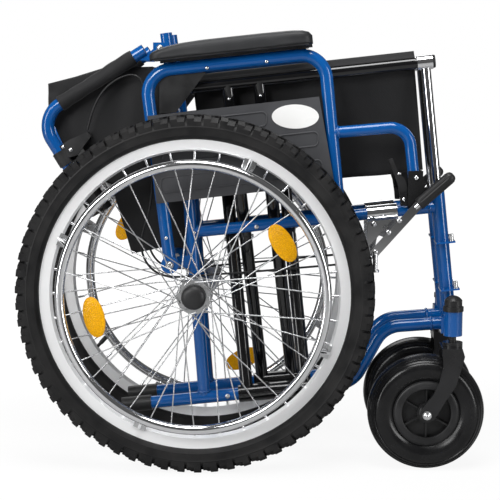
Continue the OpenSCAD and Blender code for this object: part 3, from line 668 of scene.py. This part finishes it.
# ---- Arm latches
# A black bracket on each upper tube takes the foot of the arm. Its lever hooks the arm
# down, and a bolt goes through the bracket's cheeks.
for side, s in SIDES.items():
    paint_nodes(fork_enamel, *([side + "_latch_bracket"] if side == "near" else []))
    paint_nodes(black_mould, side + "_latch_lever")
    bolts = [rivet(370.6, s * (ARM_Y + 14.9), 501, s, 4.2, 3), rivet(351, s * (ARM_Y + 8), 464, s, 3.4, 2.2),
             rivet(387.5, s * (ARM_Y + 14.9), 486, s, 2.6, 2), rivet(342, s * (ARM_Y + 3.4), 507, s, 2.4, 1.8)]
    make_piece(side + "_latch_bolts", joined(bolts), bright_plate, side + "_frame")

# ---- Wheel locks
# Plated push-to-lock levers. A clamp holds each one on the upper tube, its foot presses
# on the tyre, and a ribbed black grip covers the handle.
LEVER_Y, SHOE_X = 98.5, 303.0
GRIP_FROM, GRIP_TURN = (374.5, 456.9), math.radians(41.6)
grip_rubber = finish("Ribbed grip rubber", (0.012, 0.012, 0.0125), (0.02, 0.02, 0.021), 0.45, 0.08, 1200, 20, 0.3)


def ribbed_grip(start, direction, y, profile, ribs=26, deep=0.55):
    """A grip along a line in the side view: (distance, radius) points, with ribs along it."""
    along = Vector((direction[0], 0, direction[1])).normalized()
    across, other = Vector((-along.z, 0, along.x)), Vector((0, 1, 0))
    count, verts, faces = ribs * 4, [], []
    for distance, radius, ribbed in profile:
        for k in range(count):
            a = 2 * math.pi * k / count
            r = radius - (deep * ribbed if k % 4 < 2 else 0)
            out = across * math.cos(a) + other * math.sin(a)
            verts.append(at(*(Vector((start[0], y, start[1])) + along * distance + out * r)))
    n = len(profile)
    for i in range(n - 1):
        for k in range(count):
            q = (k + 1) % count
            faces.append((i * count + k, i * count + q, (i + 1) * count + q, (i + 1) * count + k))
    faces.append(tuple(range(count)))
    faces.append(tuple((n - 1) * count + k for k in range(count)))
    return verts, faces


LOCK_GRIP = [(0, 9.2, 0), (1.5, 10.2, 0), (4, 10.4, 0), (7, 10.4, 1), (60, 10.4, 1), (65, 10.4, 0), (70, 9.8, 0),
             (74, 7.4, 0), (76, 4, 0)]
for side, s in SIDES.items():
    paint_nodes(bright_plate, side + "_lock_clamp", side + "_lock_lever")
    shape = ribbed_grip(GRIP_FROM, (math.cos(GRIP_TURN), math.sin(GRIP_TURN)), s * LEVER_Y, LOCK_GRIP, 14, 1.1)
    grip = make_piece(side + "_lock_handle_grip", shape, grip_rubber, side + "_lock_lever_body")
    if side == "near":
        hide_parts("near_lock_grip")
    else:
        outline = [(296, 379), (298, 370), (307, 369), (379.1, 450.9), (369.1, 462.1), (364, 456)]
        lever = joined([slab(outline, s * (LEVER_Y - 2), s * (LEVER_Y + 2)),
                        rod((SHOE_X, s * LEVER_Y, 376), (SHOE_X, s * LEVER_Y, 346), 4),
                        rod((SHOE_X, s * LEVER_Y, 346), (SHOE_X, s * LEVER_Y, 342), 7)])
        bar = make_piece("far_lock_bar", lever, bright_plate, "far_lock_lever_body")
        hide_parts("far_lock_lever")
    heads = [rivet(x, s * (LEVER_Y + y), z, s, 4.4, 2.8) for x, z, y in ((342, 430, 5), (302.5, 376, 2))]
    make_piece(side + "_lock_rivets", joined(heads), spoke_steel, side + "_lock_lever_body")
    fixed = [rivet(x, s * y, z, s, 4.8, 3) for x, z, y in ((324, 410, 103.6), (301, 421, 72.1), (294, 366, 82.1))]
    make_piece(side + "_lock_pivot_heads", joined(fixed), spoke_steel, side + "_frame")

# ---- Upper canes, handles and brake levers
# The back folds down behind on a pin at each side. A blue cane runs in a cloth sleeve,
# turns down into a rubber grip, and carries a black clamp with a plated brake lever.
HINGE = (-64.3, 717.0)
TURN = math.radians(90 + 8.5 + 113.7)
CANE = Vector((math.cos(TURN), 0, math.sin(TURN)))
SIDEWAYS = math.radians(8.5 + 113.7)
ASIDE = Vector((math.cos(SIDEWAYS), 0, math.sin(SIDEWAYS))) * 11.5
CANE_FROM = Vector((HINGE[0], 0, HINGE[1])) + ASIDE + CANE * 25.2
CORNER = CANE_FROM + CANE * 218
HANDLE_END = Vector((-176, 0, 435.5))
HANDLE = (HANDLE_END - CORNER).normalized()
HANDLE_GRIP = [(-92, 12.2, 0), (-90, 12.9, 0), (-86, 12.9, 1), (-14, 12.9, 1), (-10, 12.9, 0), (-6, 13.2, 0),
               (1, 13.2, 0), (3.4, 11.6, 0), (4, 8, 0)]
for side, s in SIDES.items():
    paint_nodes(blue_enamel, side + "_upper_cane")
    paint_nodes(bright_plate, side + "_brake_lever")
    shape = ribbed_grip((HANDLE_END.x, HANDLE_END.z), (HANDLE.x, HANDLE.z), s * FRAME_Y, HANDLE_GRIP, 30, 0.7)
    grip = make_piece(side + "_push_handle", shape, grip_rubber, side + "_cane")
    if side == "near":
        paint_nodes(black_mould, "near_brake_body")
        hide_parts("near_grip")
    else:
        paint_nodes(black_mould, "far_grip")
    heads = [rivet(-219, s * 55, 543, s, 3.6, 2.4), rivet(-232, s * 55, 548, s, 3, 2)]
    make_piece(side + "_brake_screws", joined(heads), bright_plate, side + "_cane")

# ---- Back upholstery
# Black coated nylon. A sewn sleeve slides over each upper cane, and the back hangs
# from it in folds while the chair is folded; a lower flap is laced to the lower cane.


def woven_effect():
    """Plain weave across the side view, with soft patches where the coating has creased."""
    group, given, put = new_effect("Woven nylon", [("Threads", 1800), ("Patch", 16)], ["Height", "Patch"])
    place = group.nodes.new("ShaderNodeTexCoord")
    split = group.nodes.new("ShaderNodeSeparateXYZ")
    broad = group.nodes.new("ShaderNodeTexNoise")
    broad.inputs["Detail"].default_value = 6
    link = group.links.new
    link(place.outputs["Object"], split.inputs["Vector"])
    link(place.outputs["Object"], broad.inputs["Vector"])
    link(given.outputs["Patch"], broad.inputs["Scale"])
    waves = []
    for axis in ("X", "Z"):
        times = group.nodes.new("ShaderNodeMath")
        times.operation = "MULTIPLY"
        wave = group.nodes.new("ShaderNodeMath")
        wave.operation = "SINE"
        link(split.outputs[axis], times.inputs[0])
        link(given.outputs["Threads"], times.inputs[1])
        link(times.outputs[0], wave.inputs[0])
        waves.append(wave)
    cross = group.nodes.new("ShaderNodeMath")
    cross.operation = "MULTIPLY"
    link(waves[0].outputs[0], cross.inputs[0])
    link(waves[1].outputs[0], cross.inputs[1])
    link(cross.outputs[0], put.inputs["Height"])
    link(broad.outputs["Fac"], put.inputs["Patch"])
    return group


WOVEN = woven_effect()
black_nylon = finish("Coated black nylon", (0.005, 0.005, 0.0056), (0.013, 0.013, 0.014), 0.7, 0.12,
                     2400, 16, 0.25, effect=WOVEN, first="Threads")
black_nylon.node_tree.nodes["Principled BSDF"].inputs["Sheen Weight"].default_value = 0.1


def along_line(points, t):
    """A point a share of the way along a line of points."""
    lengths = [(Vector(b) - Vector(a)).length for a, b in zip(points, points[1:])]
    left = t * sum(lengths)
    for a, b, long in zip(points, points[1:], lengths):
        if left <= long or b is points[-1]:
            return Vector(a).lerp(Vector(b), min(1, left / long))
        left -= long


def cloth(name, top, bottom, y, creases, body, thick=1.2, rows=44, columns=64):
    """A hanging cloth between two lines in the side view, creased by the waves given."""
    verts, faces = [], []
    for i in range(rows + 1):
        v = i / rows
        for k in range(columns + 1):
            u = k / columns
            p = along_line(top, u).lerp(along_line(bottom, u), v)
            push = sum(size * math.sin(2 * math.pi * (fu * u + fv * v + shift)) * min(1, 3 * v + 0.15)
                       for size, fu, fv, shift in creases)
            verts.append(at(p.x, y + push, p.y))
    for i in range(rows):
        for k in range(columns):
            a = i * (columns + 1) + k
            faces.append((a, a + 1, a + columns + 2, a + columns + 1))
    piece = make_piece(name, (verts, faces), black_nylon, body, 180)
    area = sum(p.area for p in piece.data.polygons)
    skin = piece.modifiers.new("Thickness", "SOLIDIFY")
    skin.thickness = thick / 1000
    skin.offset = 0
    return piece, area


for side, s in SIDES.items():
    start, stop = CANE_FROM + CANE * 22, CANE_FROM + CANE * 172
    top = [(-56, 662), (-78, 686), (-166, 683), (-214, 668), (-261, 656)]
    bottom = [(-44, 590), (-60, 523), (-143, 480), (-214, 502), (-261, 606)]
    creases = [(1.1, 2.3, 0.4, 0.1), (0.7, 5.2, -0.9, 0.35), (0.5, 1.2, 2.1, 0.6)]
    panel, area = cloth(side + "_back_cloth", top, bottom, s * 31, creases, side + "_cane")
    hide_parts(side + "_back_panel")
    verts, faces, rows, around = [], [], 60, 40
    for i in range(rows + 1):
        p = start.lerp(stop, i / rows)
        for k in range(around):
            a = 2 * math.pi * k / around
            r = 12.2 + 0.6 * math.sin(2 * a + 7 * i / rows) + 0.35 * math.sin(27 * i / rows + 2 * math.sin(a))
            out = Vector((-CANE.z, 0, CANE.x)) * math.cos(a) + Vector((0, 1, 0)) * math.sin(a)
            verts.append(at(p.x + out.x * r, s * FRAME_Y + out.y * r, p.z + out.z * r))
    for i in range(rows):
        for k in range(around):
            q = (k + 1) % around
            faces.append((i * around + k, i * around + q, (i + 1) * around + q, (i + 1) * around + k))
    sleeve = make_piece(side + "_cane_sleeve", (verts, faces), black_nylon, side + "_cane", 180)
    skin = sleeve.modifiers.new("Thickness", "SOLIDIFY")
    skin.thickness = 0.0012
    skin.offset = 0
    flap, area = cloth(side + "_lower_cloth", [(-28, 512), (-162, 512)], [(-15, 372), (-62, 373), (-118, 361)],
                       s * 26.5, [(0.5, 1.4, 0.5, 0.2), (0.3, 3.2, 1.0, 0.5)], side + "_frame", rows=24, columns=28)
    lace = slab([(-24, 468), (-15, 468), (-7, 378), (-16, 378)], s * 35.2, s * 26)
    seam = make_piece(side + "_lower_cloth_seam", lace, black_nylon, side + "_frame")
    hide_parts(side + "_back_flap")

# ---- Brake cables
# A black jacketed cable runs from each brake lever, loops behind the hinge, goes down
# inside the arm and forward to the wheel lock, close beside the frame's tubes.
cable_jacket = finish("Cable jacket", (0.01, 0.01, 0.0105), (0.018, 0.018, 0.019), 0.35, 0.06, 800, 30, 0.08)
CABLE = [(-190, 50, 578), (-186, 50, 594), (-177, 50, 620), (-164, 50, 642), (-150, 50, 656), (-134, 50, 666),
         (-116, 50, 671), (-101, 50, 666), (-91, 51, 650), (-86, 52, 628), (-83, 52, 600), (-80, 52, 560),
         (-79, 52, 520), (-79, 52, 480), (-84, 52, 440), (-93, 52, 410), (-98, 52, 388), (-97, 52, 368),
         (-90, 52, 350), (-78, 52, 336), (-62, 54, 328), (-42, 57, 325), (-20, 58.8, 326), (6, 58.8, 328),
         (32, 63, 331), (80, 66, 335), (130, 68, 340), (180, 70, 345), (230, 72, 350), (262, 74, 354),
         (288, 76, 361)]


def smooth_line(points, steps=5):
    line = []
    for i in range(len(points) - 1):
        p = [Vector(points[max(0, min(len(points) - 1, i + k))]) for k in (-1, 0, 1, 2)]
        for m in range(steps):
            t = m / steps
            line.append(0.5 * ((2 * p[1]) + (p[2] - p[0]) * t + (2 * p[0] - 5 * p[1] + 4 * p[2] - p[3]) * t * t
                               + (3 * p[1] - p[0] - 3 * p[2] + p[3]) * t ** 3))
    return line + [Vector(points[-1])]


def hose(points, r, sides=12):
    verts, faces, side_way = [], [], Vector((0, 1, 0.1)).normalized()
    for i, p in enumerate(points):
        along = (points[min(i + 1, len(points) - 1)] - points[max(i - 1, 0)]).normalized()
        across = along.cross(side_way).normalized()
        other = along.cross(across)
        for k in range(sides):
            a = 2 * math.pi * k / sides
            verts.append(at(*(p + (across * math.cos(a) + other * math.sin(a)) * r)))
    for i in range(len(points) - 1):
        for k in range(sides):
            q = (k + 1) % sides
            faces.append((i * sides + k, i * sides + q, (i + 1) * sides + q, (i + 1) * sides + k))
    faces.append(tuple(range(sides)))
    faces.append(tuple((len(points) - 1) * sides + k for k in range(sides)))
    return verts, faces


for side, s in SIDES.items():
    line = [Vector((p.x, s * p.y, p.z)) for p in smooth_line(CABLE)]
    cable = make_piece(side + "_brake_cable", hose(line, 1.9), cable_jacket, None, 60)
    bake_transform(cable)
    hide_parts(side + "_cable_run")

# ---- Seat sling
# One strip of coated nylon, hemmed round both seat rails. While the chair is folded it
# hangs between the braces in a deep fold.
SLING_Y, SLING_DROP = 46.0, 183.0


def sling_section():
    """The strip's line across the chair: its hem on one rail, a loose fold, down, up and over again."""
    hem = [(-8.5, 8.9), (-6.6, 10.6), (-4.2, 12), (-2, 13.4), (-0.6, 16), (0.6, 18.8), (2.6, 20.4), (5, 20),
           (7.6, 17.4), (10, 13.4), (11.8, 8.6), (12.6, 3)]
    half = [(-SLING_Y + y, z) for y, z in hem]
    half += [(-33.5 + 30.2 * t, -SLING_DROP * t) for t in [k / 26 for k in range(0, 27)]]
    return half + [(0, -SLING_DROP - 1.2)] + [(-y, z) for y, z in reversed(half)]


def sling_mesh():
    section, rows, verts, faces = sling_section(), 72, [], []
    n = len(section)
    for i in range(rows + 1):
        u = i / rows
        for k, (y, z) in enumerate(section):
            down = min(1.0, max(0.0, -z / SLING_DROP))
            crease = 0.9 * math.sin(9 * u + 4 * down) * math.sin(math.pi * down)
            hang = 1 + 0.006 * math.sin(17 * u) * down
            verts.append(at(*on_brace(-80 + 380 * u, y * (1 - 0.03 * down) + crease, RAIL_RISE + z * hang)))
    for i in range(rows):
        for k in range(n - 1):
            faces.append((i * n + k, i * n + k + 1, (i + 1) * n + k + 1, (i + 1) * n + k))
    return verts, faces, section


verts, faces, section = sling_mesh()
sling = make_piece("seat_cloth", (verts, faces), black_nylon, None, 180)
skin = sling.modifiers.new("Thickness", "SOLIDIFY")
skin.thickness = 0.0014
skin.offset = 0
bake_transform(sling)
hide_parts("seat_sling")

# ---- Floor, light and camera
# A white studio sweep with one broad lamp above the camera, one overhead and tall strips
# at both sides, which draw the long highlights on upright tubes.
floor_material = bpy.data.materials.new("White sweep")
floor_material.use_nodes = True
tree = floor_material.node_tree
tree.nodes["Principled BSDF"].inputs["Base Color"].default_value = (0.4, 0.4, 0.4, 1)
tree.nodes["Principled BSDF"].inputs["Roughness"].default_value = 0.6
glow = tree.nodes.new("ShaderNodeEmission")
glow.inputs["Color"].default_value = (1, 1, 1, 1)
floor_place = tree.nodes.new("ShaderNodeTexCoord")
away = tree.nodes.new("ShaderNodeVectorMath")
away.operation = "LENGTH"
fade = tree.nodes.new("ShaderNodeMapRange")
fade.inputs["From Min"].default_value = 0.6
fade.inputs["From Max"].default_value = 1.6
fade.inputs["To Min"].default_value = 1.14
fade.inputs["To Max"].default_value = 1.27
tree.links.new(floor_place.outputs["Object"], away.inputs[0])
tree.links.new(away.outputs["Value"], fade.inputs["Value"])
tree.links.new(fade.outputs["Result"], glow.inputs["Strength"])
blend_node = tree.nodes.new("ShaderNodeMixShader")
paths = tree.nodes.new("ShaderNodeLightPath")
share = tree.nodes.new("ShaderNodeMath")
share.operation = "MULTIPLY"
share.inputs[1].default_value = 0.8
tree.links.new(paths.outputs["Is Camera Ray"], share.inputs[0])
tree.links.new(share.outputs[0], blend_node.inputs[0])
tree.links.new(tree.nodes["Principled BSDF"].outputs[0], blend_node.inputs[1])
tree.links.new(glow.outputs[0], blend_node.inputs[2])
tree.links.new(blend_node.outputs[0], tree.nodes["Material Output"].inputs["Surface"])
bpy.ops.mesh.primitive_plane_add(size=30)
floor = bpy.context.object
floor.name = "floor"
floor.data.materials.append(floor_material)

world = bpy.data.worlds.new("Studio") if not bpy.context.scene.world else bpy.context.scene.world
bpy.context.scene.world = world
world.use_nodes = True
sky = world.node_tree.nodes["Background"]
sky.inputs["Color"].default_value = (1, 1, 1, 1)
air = world.node_tree.nodes.new("ShaderNodeLightPath")
level = world.node_tree.nodes.new("ShaderNodeMapRange")
level.inputs["To Min"].default_value = 0.1
level.inputs["To Max"].default_value = 1.0
world.node_tree.links.new(air.outputs["Is Camera Ray"], level.inputs["Value"])
world.node_tree.links.new(level.outputs["Result"], sky.inputs["Strength"])
LAMPS = [("key", (-1.5, -2.6, 2.0), 1.1, 1.1, 50), ("top", (0.1, -0.8, 2.6), 1.3, 1.3, 50),
         ("left_strip", (-2.5, -1.9, 1.0), 0.7, 2.0, 34), ("right_strip", (2.6, -1.6, 1.0), 0.7, 2.0, 34),
         ("back", (-0.4, 2.2, 2.4), 1.6, 1.6, 22)]
for name, place, wide, high, power in LAMPS:
    lamp = bpy.data.lights.new(name + "_lamp", "AREA")
    lamp.shape = "RECTANGLE"
    lamp.size, lamp.size_y, lamp.energy = wide, high, power
    holder = bpy.data.objects.new(name + "_lamp", lamp)
    holder.visible_camera = False
    bpy.context.scene.collection.objects.link(holder)
    holder.location = place
    holder.rotation_mode = "QUATERNION"
    aim = Vector((0, 0, place[2] if "strip" in name else 0.35))
    holder.rotation_quaternion = (aim - Vector(place)).to_track_quat("-Z", "Y")

# The camera's place and turn are solved from the wheels and tubes in the photograph.
CAMERA_PLACE, LENS = (182.9, -2364.3, 641.9), 97.2
AZIMUTH, ELEVATION, ROLL = math.radians(2.302), math.radians(6.645), math.radians(0.245)
level_ahead = Vector((-math.sin(AZIMUTH), math.cos(AZIMUTH), 0))
ahead = level_ahead * math.cos(ELEVATION) - Vector((0, 0, math.sin(ELEVATION)))
right = Vector((math.cos(AZIMUTH), math.sin(AZIMUTH), 0))
up = right.cross(ahead)
right, up = (right * math.cos(ROLL) + up * math.sin(ROLL)), (up * math.cos(ROLL) - right * math.sin(ROLL))
camera_data = bpy.data.cameras.new("photo_camera")
camera_data.sensor_width, camera_data.lens = 36, LENS
camera_data.clip_end = 50
camera = bpy.data.objects.new("photo_camera", camera_data)
bpy.context.scene.collection.objects.link(camera)
turned = Matrix((right, up, -ahead)).transposed().to_4x4()
camera.matrix_world = Matrix.Translation(Vector(at(*CAMERA_PLACE))) @ turned
bpy.context.scene.camera = camera
bpy.context.scene.view_settings.view_transform = "Standard"
